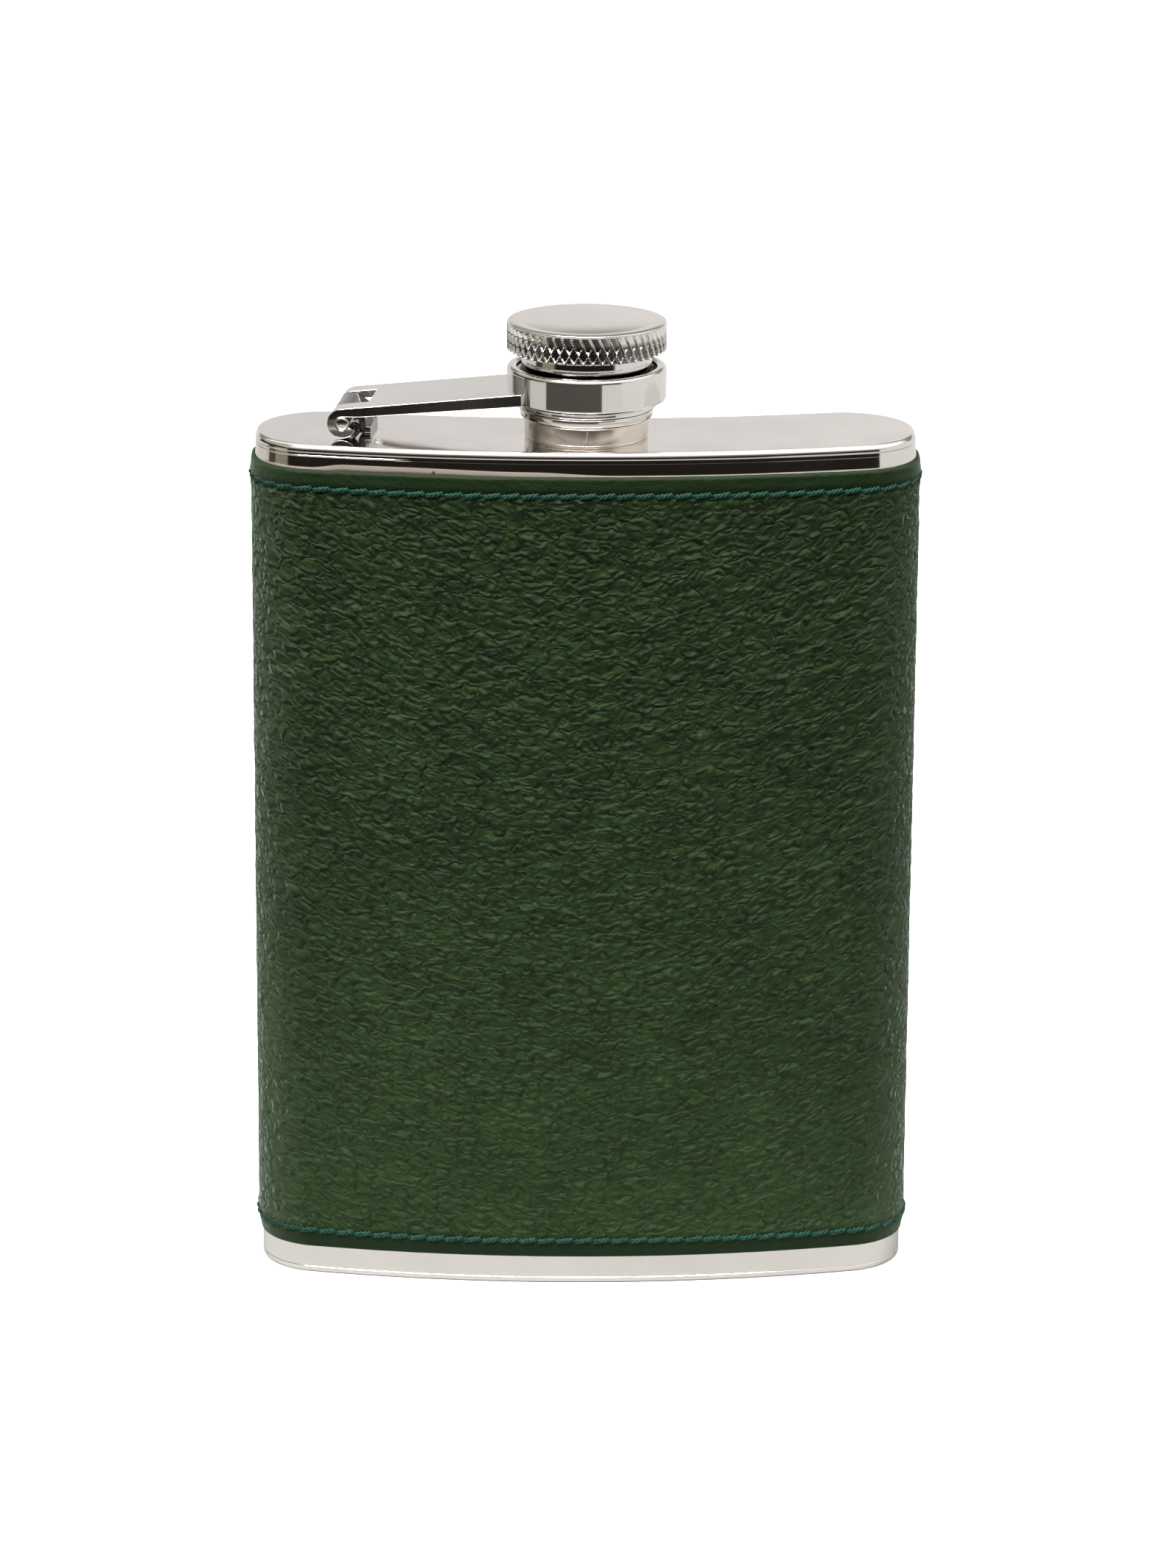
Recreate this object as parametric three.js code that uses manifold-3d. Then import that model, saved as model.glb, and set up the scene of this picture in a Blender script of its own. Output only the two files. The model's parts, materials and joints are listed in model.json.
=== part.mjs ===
// Hip flask with a leather wrap and a captive screw cap on a hinged arm.
// Millimetres, +Z up, +X to the right, the convex front towards -Y. The origin is on the
// resting plane, under the middle of the object's box.
import * as THREE from 'three';
import { mergeVertices } from 'three/addons/utils/BufferGeometryUtils.js';
import Module from 'manifold-3d';

const wasm = await Module();
wasm.setup();

// ---------------------------------------------------------------- driving dimensions
// Kidney-shaped section of the steel body; y is counted from the middle of its front face.
const HALF_WIDTH = 47;
const DEPTH = 22.6;
const FRONT_RADIUS = 175;
const BACK_RADIUS = 160;
const FRONT_CORNER = 9.5;
const BACK_CORNER = 9.9;
const SHEET = 0.6;

// Heights of the body
const PLATE_TOP = 124.15;
const SHOULDER_SEAM = 123.05;
const BASE_SEAM = 0.8;
const SEAM_GAP = 0.12;
const SHOULDER_EDGE = 1;
const BASE_EDGE = 0.4;

// Leather wrap
const WRAP_BOTTOM = 4.1;
const WRAP_TOP = 120.7;
const WRAP_GAP = 0.12;
const WRAP_PROUD = 0.62;
const WRAP_EDGE = 0.22;
const SEAM_SLIT = 0.3;
const STITCH_INSET = 2.65;
const THREAD_WIDTH = 0.75;
const THREAD_PROUD = 0.24;
const THREAD_LIFT = 0.05;

// Neck and its thread
const NECK_Y = 11.5;
const NECK_BASE_R = 8.85;
const NECK_BASE_TOP = 127;
const NECK_TUBE_R = 6.9;
const NECK_BORE_R = 5.6;
const NECK_TOP = 133.5;
const NECK_SPIGOT_R = 7.4;
const THREAD_PITCH = 2;
const THREAD_TURNS = 2;
const THREAD_RIDGE = 0.35;
const THREAD_START = 128.5;

// Cap, its collar and the ring that holds the two together
const CAP_R = 11.3;
const CAP_TOP = 140.75;
const CAP_DOME = 0.2;
const KNURL_BOTTOM = 136.45;
const SKIRT_R = 8.95;
const SKIRT_BORE_R = 8.35;
const SKIRT_BOTTOM = 127.2;
const COLLAR_R = 11.3;
const COLLAR_BORE_R = 10.45;
const COLLAR_BOTTOM = 129.7;
const COLLAR_TOP = 134.5;

// Hinge: a pin across the arm, with the bracket's knuckle between the arm's two knuckles
const HINGE_X = -33.6;
const HINGE_Y = 15.75;
const PIN_Z = 126.4;
const PIN_R = 1;
const KNUCKLE_R = 2.1;
const KNUCKLE_BORE_R = 1.07;
const ARM_WIDTH = 15.1;
const ARM_RISE = THREE.MathUtils.degToRad(6.3);
const ARM_DEPTH = 1.7;
const FLANGE = 1;
const CENTRE_KNUCKLE = 7.2;
const KNUCKLE_GAP = 0.3;
const WINDOW_END = 4.6;
const JOINT_GAP = 0.25;

// Faceting (an arc takes two facets for each of its steps)
const ARC_STEPS = 5;
const THREAD_STEPS = 3;
const SIDES = 40;
const FINE_SIDES = 24;

// Finishes
const STEEL = { color: 0xd9d6d0, roughness: 0.08, metalness: 1 };
const LEATHER = { color: 0x2e4424, roughness: 0.62, metalness: 0 };
const THREAD = { color: 0x1f5145, roughness: 0.8, metalness: 0 };
const SEAL = { color: 0xe6e3dc, roughness: 0.7, metalness: 0 };

const deg = THREE.MathUtils.degToRad;

// ---------------------------------------------------------------- helpers

// Outline of the body, grown outwards where inset is negative. It starts and ends at the
// middle of the concave back.
function section(inset) {
  const frontX = HALF_WIDTH - FRONT_CORNER;
  const backX = HALF_WIDTH - BACK_CORNER;
  const frontY = FRONT_RADIUS - Math.sqrt((FRONT_RADIUS - FRONT_CORNER) ** 2 - frontX ** 2);
  const backCentreY = DEPTH + BACK_RADIUS;
  const backY = backCentreY - Math.sqrt((BACK_RADIUS + BACK_CORNER) ** 2 - backX ** 2);
  const frontAngle = Math.atan2(frontY - FRONT_RADIUS, frontX);
  const backAngle = Math.atan2(backCentreY - backY, -backX);
  const backArc = BACK_RADIUS + inset;
  const shape = new THREE.Shape();
  shape.absarc(0, backCentreY, backArc, -Math.PI / 2, -backAngle, true);
  shape.absarc(-backX, backY, BACK_CORNER - inset, Math.PI - backAngle, Math.PI, false);
  shape.absarc(-frontX, frontY, FRONT_CORNER - inset, Math.PI, Math.PI - frontAngle, false);
  shape.absarc(0, FRONT_RADIUS, FRONT_RADIUS - inset, -Math.PI - frontAngle, frontAngle, false);
  shape.absarc(frontX, frontY, FRONT_CORNER - inset, frontAngle, 0, false);
  shape.absarc(backX, backY, BACK_CORNER - inset, 0, backAngle, false);
  shape.absarc(0, backCentreY, backArc, backAngle - Math.PI, -Math.PI / 2, true);
  return shape;
}

// Half of the section's depth over its rear lobes, which is where the origin lies
function sectionMiddle() {
  const box = new THREE.Box2().setFromPoints(section(0).getPoints(64));
  return (box.min.y + box.max.y) / 2;
}

function toSolid(geometry) {
  const bare = geometry.clone();
  bare.deleteAttribute('normal');
  bare.deleteAttribute('uv');
  const merged = mergeVertices(bare, 1e-4);
  const vertProperties = new Float32Array(merged.attributes.position.array);
  const triVerts = new Uint32Array(merged.index.array);
  return new wasm.Manifold(new wasm.Mesh({ numProp: 3, vertProperties, triVerts }));
}

function toGeometry(solid) {
  const mesh = solid.getMesh();
  const geometry = new THREE.BufferGeometry();
  geometry.setAttribute('position', new THREE.BufferAttribute(mesh.vertProperties, 3));
  geometry.setIndex(new THREE.BufferAttribute(mesh.triVerts, 1));
  geometry.computeVertexNormals();
  return geometry;
}

function join(...geometries) {
  return toGeometry(geometries.map(toSolid).reduce((sum, next) => sum.add(next)));
}

function cut(geometry, ...tools) {
  return toGeometry(tools.map(toSolid).reduce((rest, tool) => rest.subtract(tool), toSolid(geometry)));
}

// Upright prism between two heights, with both end edges rounded where edge is given
function prism(shape, low, high, edge = 0) {
  const geometry = new THREE.ExtrudeGeometry(shape, {
    depth: high - low - 2 * edge,
    curveSegments: ARC_STEPS,
    bevelEnabled: edge > 0,
    bevelThickness: edge,
    bevelSize: edge,
    bevelOffset: -edge,
    bevelSegments: 3,
  });
  geometry.translate(0, 0, low + edge);
  return geometry;
}

function block(x0, x1, y0, y1, z0, z1) {
  const geometry = new THREE.BoxGeometry(x1 - x0, y1 - y0, z1 - z0);
  geometry.translate((x0 + x1) / 2, (y0 + y1) / 2, (z0 + z1) / 2);
  return geometry;
}

// Body of revolution about the neck's axis from a list of [radius, z], outside going up
function turned(profile, sides = SIDES) {
  const geometry = new THREE.LatheGeometry(profile.map(([r, z]) => new THREE.Vector2(r, z)), sides);
  geometry.rotateX(Math.PI / 2);
  geometry.translate(0, NECK_Y, 0);
  return geometry;
}

// The same for a ring, whose profile closes on itself
function turnedRing(profile, sides = SIDES) {
  return turned([...profile, profile[0]], sides);
}

// Plain upright cylinder about the neck's axis, for cutting
function round(radius, low, high) {
  return turned([[0, low], [radius, low], [radius, high], [0, high]]);
}

// Profile drawn in the arm's side view (x along the arm, y up), given a width along the pin
function sideExtrude(shape, from, to) {
  const geometry = new THREE.ExtrudeGeometry(shape, {
    depth: to - from,
    curveSegments: FINE_SIDES / 3,
    bevelEnabled: false,
  });
  geometry.rotateX(Math.PI / 2);
  geometry.translate(0, to, 0);
  return geometry;
}

// Rolled screw thread: a round ridge that winds up a cylinder
class Helix extends THREE.Curve {
  constructor(radius, start, turns, pitch) {
    super();
    Object.assign(this, { radius, start, turns, pitch });
  }

  getPoint(t, target = new THREE.Vector3()) {
    const angle = 2 * Math.PI * this.turns * t;
    const z = this.start + this.pitch * this.turns * t;
    return target.set(this.radius * Math.cos(angle), NECK_Y + this.radius * Math.sin(angle), z);
  }
}

function threadRidge(radius) {
  const ridge = new THREE.Shape();
  ridge.absarc(0, 0, THREAD_RIDGE, 0, 2 * Math.PI, false);
  return new THREE.ExtrudeGeometry(ridge, {
    steps: THREAD_TURNS * 20,
    curveSegments: THREAD_STEPS,
    bevelEnabled: false,
    extrudePath: new Helix(radius, THREAD_START, THREAD_TURNS, THREAD_PITCH),
  });
}

// ---------------------------------------------------------------- steel body

function bodySleeve() {
  return cut(
    prism(section(0), BASE_SEAM + SEAM_GAP, SHOULDER_SEAM),
    prism(section(SHEET), 0, PLATE_TOP),
  );
}

// Locating rim inside the sleeve, shared by the two end pressings
function spigotRim(low, high) {
  const outer = prism(section(SHEET + 0.15), low, high);
  return cut(outer, prism(section(2 * SHEET + 0.15), low - 1, high + 1));
}

function shoulderPlate() {
  const low = SHOULDER_SEAM + SEAM_GAP;
  const blank = prism(section(0), low - 2 * SHOULDER_EDGE, PLATE_TOP, SHOULDER_EDGE);
  const plate = cut(blank, block(-60, 60, -10, 60, 100, low));
  const hole = round(NECK_SPIGOT_R + 0.15, low - 5, PLATE_TOP + 5);
  return cut(join(plate, spigotRim(low - 1.5, low + 0.1)), hole);
}

function basePlate() {
  const blank = prism(section(0), 0, BASE_SEAM + 2, BASE_EDGE);
  const plate = cut(blank, block(-60, 60, -10, 60, BASE_SEAM, 20));
  return join(plate, spigotRim(BASE_SEAM - 0.1, BASE_SEAM + 1.5));
}

function neckSpout() {
  const foot = PLATE_TOP + 0.15;
  const tube = turnedRing([
    [NECK_BORE_R, PLATE_TOP - 1.5],
    [NECK_SPIGOT_R, PLATE_TOP - 1.5],
    [NECK_SPIGOT_R, foot],
    [NECK_BASE_R - 0.2, foot],
    [NECK_BASE_R, foot + 0.2],
    [NECK_BASE_R, NECK_BASE_TOP - 0.3],
    [NECK_BASE_R - 0.3, NECK_BASE_TOP],
    [NECK_TUBE_R, NECK_BASE_TOP],
    [NECK_TUBE_R, NECK_TOP - 0.4],
    [NECK_TUBE_R - 0.4, NECK_TOP],
    [NECK_BORE_R + 0.3, NECK_TOP],
    [NECK_BORE_R, NECK_TOP - 0.3],
  ]);
  return join(tube, threadRidge(NECK_TUBE_R));
}

// ---------------------------------------------------------------- leather wrap and its thread

function leatherWrap() {
  const blank = prism(section(-WRAP_PROUD), WRAP_BOTTOM, WRAP_TOP, WRAP_EDGE);
  const core = prism(section(-WRAP_GAP), 0, PLATE_TOP);
  const slit = block(-SEAM_SLIT / 2, SEAM_SLIT / 2, DEPTH - 4, DEPTH + 4, 0, PLATE_TOP);
  return cut(blank, core, slit);
}

// The sewing thread of a row that runs right round the wrap at one height
function threadLoop(z) {
  const inner = WRAP_PROUD + THREAD_LIFT;
  const low = z - THREAD_WIDTH / 2;
  const high = z + THREAD_WIDTH / 2;
  return cut(
    prism(section(-inner - THREAD_PROUD), low, high),
    prism(section(-inner), low - 1, high + 1),
  );
}

// The thread of one upright row beside the butt joint at the back
function rearThread(side) {
  const radius = BACK_RADIUS - WRAP_PROUD - THREAD_LIFT - THREAD_PROUD / 2;
  const x = side * STITCH_INSET;
  const y = DEPTH + BACK_RADIUS - Math.sqrt(radius ** 2 - x ** 2);
  const low = WRAP_BOTTOM + 2 * STITCH_INSET;
  const high = WRAP_TOP - 2 * STITCH_INSET;
  const geometry = new THREE.BoxGeometry(THREAD_WIDTH, THREAD_PROUD, high - low);
  geometry.rotateZ(Math.asin(x / radius));
  geometry.translate(x, y, (low + high) / 2);
  return geometry;
}

// ---------------------------------------------------------------- hinge and arm

// From the hinge's own frame (x towards the neck, y along the pin, z up) to the part's frame
const armYaw = Math.atan2(NECK_Y - HINGE_Y, -HINGE_X);
const armLength = Math.hypot(HINGE_X, HINGE_Y - NECK_Y);
const hingeFrame = new THREE.Matrix4()
  .makeTranslation(HINGE_X, HINGE_Y, PIN_Z)
  .multiply(new THREE.Matrix4().makeRotationZ(armYaw));
const armFrame = hingeFrame.clone().multiply(new THREE.Matrix4().makeRotationY(-ARM_RISE));

// Strip curled over the pin, with a leg down to a foot on the shoulder plate
function hingeBracket() {
  const leave = deg(35);
  const start = deg(250);
  const footBottom = PLATE_TOP + 0.15 - PIN_Z;
  const footTop = footBottom + 0.9;
  const toe = 4.8;
  const outer = KNUCKLE_R - 0.02;
  const legX = (radius, z) => {
    const drop = (radius * Math.sin(leave) - z) / Math.cos(leave);
    return radius * Math.cos(leave) + drop * Math.sin(leave);
  };
  const shape = new THREE.Shape();
  shape.absarc(0, 0, outer, start, leave, true);
  shape.lineTo(legX(outer, footTop), footTop);
  shape.lineTo(toe, footTop);
  shape.lineTo(toe, footBottom);
  shape.lineTo(legX(KNUCKLE_BORE_R, footBottom), footBottom);
  shape.absarc(0, 0, KNUCKLE_BORE_R, leave, start, false);
  const half = CENTRE_KNUCKLE / 2;
  return sideExtrude(shape, -half, half).applyMatrix4(hingeFrame);
}

function hingePin() {
  const geometry = new THREE.CylinderGeometry(PIN_R, PIN_R, ARM_WIDTH, FINE_SIDES);
  return geometry.applyMatrix4(hingeFrame);
}

// Pressed strip: a curl on each side of the bracket's knuckle, a window between them, and a
// shallow channel that runs up to the collar
function capArm() {
  const half = ARM_WIDTH / 2;
  const inner = CENTRE_KNUCKLE / 2 + KNUCKLE_GAP;
  const reach = armLength + 2;
  const curlEnd = deg(325);
  const curl = new THREE.Shape();
  curl.moveTo(WINDOW_END + 1, KNUCKLE_R);
  curl.absarc(0, 0, KNUCKLE_R, deg(90), curlEnd, false);
  curl.absarc(0, 0, KNUCKLE_BORE_R, curlEnd, deg(90), true);
  curl.lineTo(WINDOW_END + 1, KNUCKLE_BORE_R);
  const low = KNUCKLE_R - ARM_DEPTH;
  const strip = cut(
    block(WINDOW_END, reach, -half, half, low, KNUCKLE_R),
    block(WINDOW_END + 1, reach + 1, FLANGE - half, half - FLANGE, low - 1, KNUCKLE_BORE_R),
  );
  const arm = join(
    sideExtrude(curl, -half, -inner),
    sideExtrude(curl, inner, half),
    block(KNUCKLE_R, WINDOW_END + 1, -half, FLANGE - half, low, KNUCKLE_R),
    block(KNUCKLE_R, WINDOW_END + 1, half - FLANGE, half, low, KNUCKLE_R),
    strip,
  );
  const opening = round(COLLAR_R + JOINT_GAP, PIN_Z - 10, PIN_Z + 20);
  return cut(arm.applyMatrix4(armFrame), opening);
}

function collarRing() {
  return turnedRing([
    [COLLAR_BORE_R, COLLAR_BOTTOM],
    [COLLAR_R - 0.25, COLLAR_BOTTOM],
    [COLLAR_R, COLLAR_BOTTOM + 0.25],
    [COLLAR_R, COLLAR_TOP - 0.65],
    [COLLAR_R - 0.2, COLLAR_TOP - 0.2],
    [COLLAR_R - 0.6, COLLAR_TOP],
    [COLLAR_R - 1.3, COLLAR_TOP - 0.12],
    [COLLAR_R - 1.5, COLLAR_TOP - 0.4],
    [COLLAR_R - 1.4, COLLAR_TOP - 0.8],
    [COLLAR_BORE_R, COLLAR_TOP - 1],
  ]);
}

// ---------------------------------------------------------------- cap

// Open ring on the skirt that stops under the collar's rolled rim
function retainingRing() {
  const low = SKIRT_BOTTOM + 1.35;
  const high = SKIRT_BOTTOM + 2.25;
  const ring = turnedRing([
    [SKIRT_R + 0.2, low],
    [9.85, low],
    [10, low + 0.15],
    [10, high - 0.15],
    [9.85, high],
    [SKIRT_R + 0.2, high],
  ]);
  return cut(ring, block(-0.8, 0.8, NECK_Y + 8, NECK_Y + 12, low - 1, high + 1));
}

function capSkirt() {
  const lip = 9.45;
  const flange = 9.25;
  const tube = turnedRing([
    [SKIRT_BORE_R, SKIRT_BOTTOM],
    [lip - 0.2, SKIRT_BOTTOM],
    [lip, SKIRT_BOTTOM + 0.2],
    [lip, SKIRT_BOTTOM + 0.95],
    [SKIRT_R, SKIRT_BOTTOM + 1.15],
    [SKIRT_R, 134.65],
    [flange, 134.85],
    [flange, KNURL_BOTTOM - 0.2],
    [SKIRT_BORE_R, KNURL_BOTTOM - 0.2],
  ]);
  return join(tube, threadRidge(SKIRT_BORE_R - 0.05));
}

function capHead() {
  const spigot = SKIRT_BORE_R - 0.2;
  return turned([
    [0, NECK_TOP + 1.45],
    [spigot, NECK_TOP + 1.45],
    [spigot, KNURL_BOTTOM],
    [CAP_R - 0.3, KNURL_BOTTOM],
    [CAP_R, KNURL_BOTTOM + 0.3],
    [CAP_R, CAP_TOP - 0.5],
    [CAP_R - 0.2, CAP_TOP - 0.15],
    [CAP_R - 0.6, CAP_TOP],
    [CAP_R / 2, CAP_TOP + 0.75 * CAP_DOME],
    [0, CAP_TOP + CAP_DOME],
  ]);
}

function capGasket() {
  return turnedRing([
    [3, NECK_TOP + 0.25],
    [SKIRT_BORE_R - 0.25, NECK_TOP + 0.25],
    [SKIRT_BORE_R - 0.25, NECK_TOP + 1.25],
    [3, NECK_TOP + 1.25],
  ]);
}

// ---------------------------------------------------------------- assembly

const flask = new THREE.Group();
flask.position.y = -sectionMiddle();

function add(name, geometry, finish) {
  const mesh = new THREE.Mesh(geometry, new THREE.MeshStandardMaterial(finish));
  mesh.name = name;
  flask.add(mesh);
}

add('body_sleeve', bodySleeve(), STEEL);
add('shoulder_plate', shoulderPlate(), STEEL);
add('base_plate', basePlate(), STEEL);
add('neck_spout', neckSpout(), STEEL);
add('leather_wrap', leatherWrap(), LEATHER);
add('top_stitching', threadLoop(WRAP_TOP - STITCH_INSET), THREAD);
add('bottom_stitching', threadLoop(WRAP_BOTTOM + STITCH_INSET), THREAD);
add('rear_stitching_left', rearThread(1), THREAD);
add('rear_stitching_right', rearThread(-1), THREAD);
add('hinge_bracket', hingeBracket(), STEEL);
add('hinge_pin', hingePin(), STEEL);
add('cap_arm', capArm(), STEEL);
add('collar_ring', collarRing(), STEEL);
add('retaining_ring', retainingRing(), STEEL);
add('cap_skirt', capSkirt(), STEEL);
add('cap_head', capHead(), STEEL);
add('cap_gasket', capGasket(), SEAL);

export default flask;
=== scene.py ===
"""Looks of the hip flask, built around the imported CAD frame.

Meshes are worked out in millimetres in the CAD part's own frame and stored in metres.
"""
import json
import math

import bmesh
import bpy
import numpy as np
from mathutils import Matrix, Vector


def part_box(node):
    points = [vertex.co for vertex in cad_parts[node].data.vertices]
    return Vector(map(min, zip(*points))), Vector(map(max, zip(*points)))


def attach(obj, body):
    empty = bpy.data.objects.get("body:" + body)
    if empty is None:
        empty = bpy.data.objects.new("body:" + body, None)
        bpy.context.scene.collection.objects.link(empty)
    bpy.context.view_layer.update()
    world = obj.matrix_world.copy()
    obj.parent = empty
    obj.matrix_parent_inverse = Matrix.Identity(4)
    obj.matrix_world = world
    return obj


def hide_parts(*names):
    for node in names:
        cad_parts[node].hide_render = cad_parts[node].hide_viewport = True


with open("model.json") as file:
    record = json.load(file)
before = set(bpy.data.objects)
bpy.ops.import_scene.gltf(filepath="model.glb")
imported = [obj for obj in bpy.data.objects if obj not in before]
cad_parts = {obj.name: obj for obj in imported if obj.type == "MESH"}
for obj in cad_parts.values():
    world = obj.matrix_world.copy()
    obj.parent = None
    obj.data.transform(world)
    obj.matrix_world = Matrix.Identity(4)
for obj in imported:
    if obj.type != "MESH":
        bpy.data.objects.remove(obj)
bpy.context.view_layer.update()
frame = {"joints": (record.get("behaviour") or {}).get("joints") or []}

MM = 0.001
SEED = 11


def box_mm(node):
    low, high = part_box(node)
    return np.array(low) / MM, np.array(high) / MM


# ---- sizes from the frame, in mm
SLEEVE, PLATE, NECK, WRAP, SKIRT, HEAD, COLLAR, RING, GASKET = (box_mm(node) for node in (
    "body_sleeve", "shoulder_plate", "neck_spout", "leather_wrap", "cap_skirt", "cap_head",
    "collar_ring", "retaining_ring", "cap_gasket",
))
PLATE_TOP = float(PLATE[1][2])
TOP_ROW_Z = float(sum(box_mm("top_stitching"))[2]) / 2
BOTTOM_ROW_Z = float(sum(box_mm("bottom_stitching"))[2]) / 2
REAR_LOW, REAR_HIGH = box_mm("rear_stitching_left")
REAR_ROW_X = float(REAR_LOW[0] + REAR_HIGH[0]) / 2
REAR_ROW_LOW, REAR_ROW_HIGH = float(REAR_LOW[2]), float(REAR_HIGH[2])
NECK_AXIS = (NECK[0] + NECK[1])[:2] / 2
HINGE = next(j for j in frame["joints"] if j["name"] == "arm_swing")
PIN = np.array(HINGE["pos_m"]) / MM
PIN_AXIS = -np.array(HINGE["axis"], float)

# The body's kidney section: y counted from the middle of its front face
HALF_WIDTH = float(SLEEVE[1][0])
FRONT_Y = float(SLEEVE[0][1])
DEPTH = 22.6
FRONT_RADIUS = 175.0
BACK_RADIUS = 160.0
FRONT_CORNER = 9.5
BACK_CORNER = 9.9
WALL = 0.6

# Threads of the neck and the cap
THREAD_START = 128.5
THREAD_PITCH = 2
THREAD_TURNS = 2
THREAD_RIDGE = 0.35

# Near-black colour that the steel takes as painted shade
PAINTED_SHADE_COLOUR = (0.03, 0.027, 0.023)


def heights(box):
    return float(box[0][2]), float(box[1][2])


def radius_of(box):
    """Radius of a round piece about the neck's axis"""
    return float(box[1][0] - NECK_AXIS[0])


# ---- materials
def new_material(name):
    material = bpy.data.materials.new(name)
    material.use_nodes = True
    tree = material.node_tree
    shader = tree.nodes["Principled BSDF"]
    return material, tree, shader


def fill(tree, made, inputs):
    """Links or sets a node's inputs"""
    for key, value in inputs.items():
        if isinstance(value, bpy.types.NodeSocket):
            tree.links.new(value, made.inputs[key])
        else:
            made.inputs[key].default_value = value


def node(tree, kind, inputs=None, **settings):
    made = tree.nodes.new(kind)
    for key, value in settings.items():
        setattr(made, key, value)
    fill(tree, made, inputs or {})
    return made


def noise(tree, scale, detail=2.0, roughness=0.5, stretch=(1, 1, 1)):
    """Noise over object coordinates; scale is in repeats per metre"""
    place = node(tree, "ShaderNodeTexCoord")
    mapping = node(tree, "ShaderNodeMapping", {"Vector": place.outputs["Object"], "Scale": stretch})
    return node(tree, "ShaderNodeTexNoise", {
        "Vector": mapping.outputs["Vector"], "Scale": scale, "Detail": detail, "Roughness": roughness,
    }).outputs["Fac"]


def spread(tree, value, low, high, to_low=0, to_high=1):
    return node(tree, "ShaderNodeMapRange", {
        "Value": value, "From Min": low, "From Max": high, "To Min": to_low, "To Max": to_high,
    }).outputs["Result"]


def maths(tree, operation, *values):
    return node(tree, "ShaderNodeMath", dict(enumerate(values)), operation=operation).outputs["Value"]


def painted(tree, name):
    """Value stored on the mesh's points under a name"""
    return node(tree, "ShaderNodeAttribute", attribute_name=name).outputs["Fac"]


def bump(tree, height, strength, distance, normal=None):
    inputs = {"Height": height, "Strength": strength, "Distance": distance}
    if normal is not None:
        inputs["Normal"] = normal
    return node(tree, "ShaderNodeBump", inputs).outputs["Normal"]


def mix_colour(tree, factor, a, b):
    made = node(tree, "ShaderNodeMix", {0: factor}, data_type="RGBA")
    for key, colour in ((6, a), (7, b)):
        fill(tree, made, {key: (*colour, 1) if isinstance(colour, tuple) else colour})
    return made.outputs[2]


def steel_material(name, colour, roughness, wave=0.12, brushed=(1, 1, 1)):
    """Mirror-polished stainless steel with faint polishing lines, handling marks and waviness, darkened by
    painted shade where a part carries a painted value
    """
    material, tree, shader = new_material(name)
    smudge = noise(tree, 90, detail=4, roughness=0.6)
    lines = noise(tree, 2600, detail=3, stretch=brushed)
    tint = mix_colour(tree, spread(tree, smudge, 0.35, 0.7), colour, tuple(c * 0.93 for c in colour))
    # Painted shade: the steel is darkened toward a near-black colour by a value painted on the part's
    # points
    tint = mix_colour(tree, painted(tree, "painted_shade"), tint, PAINTED_SHADE_COLOUR)
    waves = bump(tree, noise(tree, 110, detail=1), wave, 0.0002)
    fill(tree, shader, {
        "Base Color": tint, "Metallic": 1.0,
        "Roughness": spread(tree, smudge, 0.3, 0.75, roughness * 0.75, roughness * 1.5),
        "Normal": bump(tree, lines, 0.06, 0.00002, waves),
    })
    return material


def creases(tree):
    """Fine sharp-bottomed creases that droop toward both sides of the front"""
    place = node(tree, "ShaderNodeTexCoord").outputs["Object"]
    axes = node(tree, "ShaderNodeSeparateXYZ", {"Vector": place})
    drop = maths(tree, "MULTIPLY", maths(tree, "MULTIPLY", axes.outputs["X"], axes.outputs["X"]), 4.5)
    level = maths(tree, "MULTIPLY", maths(tree, "SUBTRACT", axes.outputs["Z"], drop), 1.5)
    bent = node(tree, "ShaderNodeCombineXYZ", {"X": axes.outputs["X"], "Y": axes.outputs["Y"], "Z": level})
    field = node(tree, "ShaderNodeTexNoise", {
        "Vector": bent.outputs["Vector"], "Scale": 480.0, "Detail": 1.3,
        "Roughness": 0.45, "Distortion": 0.45,
    }).outputs["Fac"]
    away = maths(tree, "ABSOLUTE", maths(tree, "SUBTRACT", field, 0.5))
    ridge = maths(tree, "SUBTRACT", 1.0, maths(tree, "MULTIPLY", away, 3.0))
    return maths(tree, "SUBTRACT", field, ridge)


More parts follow.
